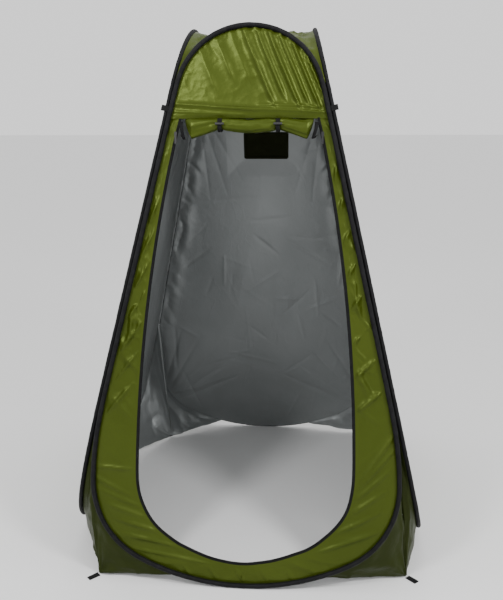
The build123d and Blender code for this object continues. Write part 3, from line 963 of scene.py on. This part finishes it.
def make_seams():
    """Cloth along each corner seam, between the sleeves of two walls, gathered by its stitching."""
    count = 420
    up = np.linspace(GUSSET_TOP - 0.012, HOOP_PEAK - 0.2, count)
    half = half_width(up)
    seam = BASE_HALF - up * SEAM_RATE
    corners = (("back", "left"), ("back", "right"), ("left", "front"), ("front", "right"))
    for number, (one, other) in enumerate(corners):
        hand = -1 if one == "back" and other == "right" else 1
        first = wall_points(one, hand * (half + SEAM_IN), up, SEAM_OUT)
        middle = wall_points(one, hand * seam, up, 0.0)
        last = wall_points(other, -hand * (half + SEAM_IN), up, SEAM_OUT)
        share = np.linspace(0, 1, 9)[None, :, None]
        points = np.concatenate([first[:, None] * (1 - share) + middle[:, None] * share,
                                 (middle[:, None] * (1 - share) + last[:, None] * share)[:, 1:]], axis=1)
        inward = -middle / np.linalg.norm(middle[:, :2], axis=1)[:, None]
        inward[:, 2] = 0
        place = np.linspace(-1, 1, points.shape[1])[None, :]
        pucker = 0.004 * ridges(up[:, None] / 0.03 + place, place * 0.8, 400 + number) * (1 - np.abs(place))
        points += inward[:, None, :] * pucker[..., None]
        flat = flat_of(place * 0.02, up[:, None], 0.004)
        name = "seam_" + one + "_" + other
        halves = ((slice(0, None), (one, other)),)
        if (one, other) == ("front", "right"):
            halves = ((slice(0, 9), (one,)), (slice(8, None), (other,)))
        for part, bodies in halves:
            piece = grid_object(name + "_" + bodies[-1], points[:, part], flat[:, part])
            make_cloth(piece, GREEN, SILVER)
            if len(bodies) > 1:
                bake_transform(piece)
            else:
                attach(piece, bodies[0])


# ======== rolled door, ties and small cloth parts ========

def make_rolled_door():
    """The door rolled up under its seam, pinched by its two ties and drooping at its ends."""
    low, high = map(np.array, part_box("rolled_door"))
    half = (high[0] - low[0]) / 2 - 0.004
    middle = in_wall("front", (low + high) / 2)
    ties = [in_wall("front", (np.array(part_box(node)[0]) + np.array(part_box(node)[1])) / 2)[0]
            for node in ("door_tie_left", "door_tie_right")]
    count, around = 220, 46
    along = np.linspace(-1, 1, count)
    across = along * half
    pinch = sum(np.exp(-((across - tie) / 0.018)**2) for tie in ties)
    end = np.clip((np.abs(across) - 0.115) / 0.10, 0, 1)
    end = end * end * (3 - 2 * end)
    taper = np.clip((1 - np.abs(along)) / 0.10, 0.03, 1)**0.6
    tall = (0.0225 - 0.0035 * pinch + 0.0105 * end + 0.0012 * np.cos(math.pi * across / 0.1)) * taper
    deep = (0.0200 - 0.0040 * pinch - 0.0030 * end) * taper
    turn = np.linspace(0, 2 * math.pi, around, endpoint=False)
    s, a = across[:, None], turn[None, :]
    nearest = np.array([min(ties, key=lambda tie: abs(tie - x)) for x in across])[:, None]
    spread = np.abs(s - nearest)
    layers = 0.0042 * (ridges(a * 1.9 + 6 * spread, s * 4.0, 121) - 0.4) * np.clip(spread / 0.02, 0.3, 1)
    layers = layers + 0.0016 * ridges(a * 5.3, s * 14, 122)
    wave = 0.0020 * lattice_noise(s / 0.03, a * 0.9, 123)
    swell = (layers + wave) * taper[:, None]
    top = DOOR_TOP - 0.002
    out = middle[2] + (deep[:, None] + swell) * np.cos(a)
    up = top - tall[:, None] + (tall[:, None] + np.minimum(swell, 0.002)) * np.sin(a)
    points = wall_points("front", s + 0 * a, up, np.minimum(out, 0.0125))
    flat = flat_of(s, a * 0.022, 0.02)
    piece = grid_object("rolled_door_cloth", points, flat, wrap=True)
    cap_ends(piece)
    piece.data.materials.append(GREEN)
    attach(piece, "front")
    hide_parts("rolled_door")


def worked(node, body, material, lump=0.0006):
    """A cloth or webbing part from its CAD solid: soft edges, small waves and a woven finish."""
    source = frame["nodes"][node]
    piece = add_object(node + "_soft", source.data.copy())
    piece.data.materials.clear()
    remesh = piece.modifiers.new("remesh", "REMESH")
    remesh.mode = "VOXEL"
    remesh.voxel_size = VOXEL
    bake_modifiers(piece)
    smooth = piece.modifiers.new("soften", "SMOOTH")
    smooth.factor = 0.5
    smooth.iterations = 3
    bake_modifiers(piece)
    points = np.array([vertex.co for vertex in piece.data.vertices], float)
    normals = np.array([vertex.normal for vertex in piece.data.vertices], float)
    waves = lattice_noise(points[:, 0] / 0.012 + points[:, 1] / 0.02, points[:, 2] / 0.012, len(node))
    points += normals * (lump * waves)[:, None]
    points[:, 2] = np.maximum(points[:, 2], 0.0003)
    piece.data.vertices.foreach_set("co", points.ravel())
    set_flat(piece.data, points)
    piece.data.materials.append(material)
    shade_smooth(piece)
    piece.data.update()
    place = node.removeprefix("stake_tab_").removeprefix("guy_tab_")
    if place in CORNER_BODIES:
        corner = ground_corner(place) if "stake" in node else points.mean(axis=0)
        blend_corner(piece, CORNER_BODIES[place], corner)
    else:
        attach(piece, body)
    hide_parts(node)


def make_window():
    """Netting and flap of the back window."""
    for node, material, seed, thick, body, slot in (
        ("window_mesh", NETTING, 131, 0.0008, "back", "netting"),
        ("window_flap", FLAP, 132, 0.0010, "window_flap", "flap_fabric"),
    ):
        flat = in_wall("back", node_points(node))
        low, high = flat.min(axis=0), flat.max(axis=0)
        u, v = np.meshgrid(np.linspace(low[0], high[0], 90), np.linspace(low[1], high[1], 60))
        rim = np.minimum.reduce([u - low[0], high[0] - u, v - low[1], high[1] - v])
        out = (low[2] + high[2]) / 2 + 0.0035 * crumple(u, v, 0.05, seed) * np.clip(rim / 0.03, 0, 1)
        if node == "window_flap":
            out = np.maximum(out, low[2] + 0.0006) + 0.001
        piece = grid_object(node + "_cloth", wall_points("back", u, v, out), flat_of(u, v, rim))
        make_cloth(piece, material, material, thick)
        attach(piece, body)
        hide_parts(node)


def make_binding():
    """The hem tape round the window, on the inside of the wall."""
    flat = in_wall("back", node_points("window_mesh"))
    low, high = flat.min(axis=0), flat.max(axis=0)
    corners = np.array([(low[0], low[1]), (high[0], low[1]), (high[0], high[1]), (low[0], high[1])])
    ring = smooth_ring(corners, 320, 0.004)
    ring = np.vstack([ring, ring[:1]])
    line = wall_points("back", ring[:, 0], ring[:, 1], -0.0022)
    run = unit(np.gradient(ring, axis=0))
    side_way = wall_way("back", run[:, 1], -run[:, 0], 0.0)
    out_way = np.broadcast_to(wall_way("back", 0.0, 0.0, 1.0), side_way.shape)
    piece = band_along("window_hem", line, out_way, side_way, 0.011, 0.0022, NETTING)
    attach(piece, "back")
    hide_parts("window_binding")


def make_zip_tails():
    """The loose upper ends of the door's zip tape, which curl below the rolled door."""
    for name, hand in (("zip_tail_left", -1), ("zip_tail_right", 1)):
        across, up = 0.226 * hand, DOOR_TOP - 0.018
        turn = np.linspace(0, 1, 60)
        curl_u = across + hand * (0.006 - 0.020 * np.sin(math.pi * turn) * turn)
        curl_v = up - 0.062 * np.sin(math.pi * turn * 0.62) + 0.012 * turn**3
        curl_w = 0.016 + 0.010 * np.sin(math.pi * turn)
        line = wall_points("front", curl_u, curl_v, curl_w)
        run = unit(np.gradient(line, axis=0))
        twist = wall_way("front", np.cos(turn * 1.2), 0 * turn, np.sin(turn * 1.2))
        side_way = unit(twist - (twist * run).sum(axis=1)[:, None] * run)
        piece = band_along(name, line, np.cross(run, side_way), side_way, 0.013, 0.0024, TAPE)
        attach(piece, "front")


def make_small_parts():
    make_binding()
    make_zip_tails()
    worked("door_head_tape", "front", TAPE)
    for hand in ("left", "right"):
        worked("door_tie_" + hand, "front", WEBBING, lump=0.0008)
    for node, member in NODE_BODY.items():
        if "_tab_" in node:
            worked(node, member, WEBBING, lump=0.0007)


# ======== stage ========

def make_stage():
    floor_mesh = bpy.data.meshes.new("floor")
    size = 40.0
    floor_mesh.from_pydata([(-size, -size, -0.0005), (size, -size, -0.0005), (size, size, -0.0005),
                            (-size, size, -0.0005)], [], [(0, 1, 2, 3)])
    floor = add_object("floor", floor_mesh)
    floor_mesh.materials.append(new_material("floor_paint", (0.82, 0.82, 0.82), 0.9))

    world = bpy.data.worlds.new("studio")
    bpy.context.scene.world = world
    world.use_nodes = True
    sky = world.node_tree.nodes["Background"]
    sky.inputs["Color"].default_value = (1.0, 1.0, 1.0, 1.0)
    sky.inputs["Strength"].default_value = 1.2


def area_light(name, place, target, size, power):
    data = bpy.data.lights.new(name, "AREA")
    data.shape = "DISK"
    data.size = size
    data.energy = power
    lamp = add_object(name, data)
    lamp.location = place
    lamp.rotation_euler = (Vector(target) - Vector(place)).to_track_quat("-Z", "Y").to_euler()


def make_camera():
    data = bpy.data.cameras.new("camera")
    data.sensor_fit = "VERTICAL"
    data.sensor_height = 36.0
    data.lens = 43.24
    data.clip_start = 0.05
    data.clip_end = 200.0
    camera = add_object("camera", data)
    camera.location = (0.205, -2.826, 1.628)
    camera.rotation_euler = (math.pi / 2 - 0.263, 0.004, 0.077)
    bpy.context.scene.camera = camera


BODIES = frame["record"]["behaviour"]["bodies"]
NODE_BODY = {node: body for body, members in BODIES.items() for node in members}

make_camera()
make_stage()
area_light("key", (-1.3, -2.1, 3.1), (0, -0.2, 1.6), 0.6, 50)
area_light("fill", (1.7, -1.8, 3.0), (0, -0.1, 1.5), 0.6, 58)
area_light("top", (0.3, 0.8, 4.6), (0, 0, 1.0), 1.8, 10)

make_wall("left", "left_wall", 201)
make_wall("right", "right_wall", 202)
window = in_wall("back", node_points("window_mesh"))
hole = (window[:, 0].min(), window[:, 1].min(), window[:, 0].max(), window[:, 1].max())
make_wall("back", "back_wall", 203, hole)
make_top_panel()
surround, outward = make_surround()
make_zip_tape(surround, outward)
for number, side_name in enumerate(SIDES):
    make_sleeve(side_name, 300 + 2 * number)
make_roof()
make_gussets()
make_seams()
make_rolled_door()
make_window()
make_small_parts()

for node in frame["nodes"]:
    if node.endswith(("_hoop_wire", "_ferrule")):
        repaint(node, STEEL)
    elif node.startswith(("zip_slider", "zip_pull")):
        repaint(node, BLACK_METAL)
    elif node.startswith("tie_toggle"):
        repaint(node, BLACK_PLASTIC)

bpy.context.view_layer.update()
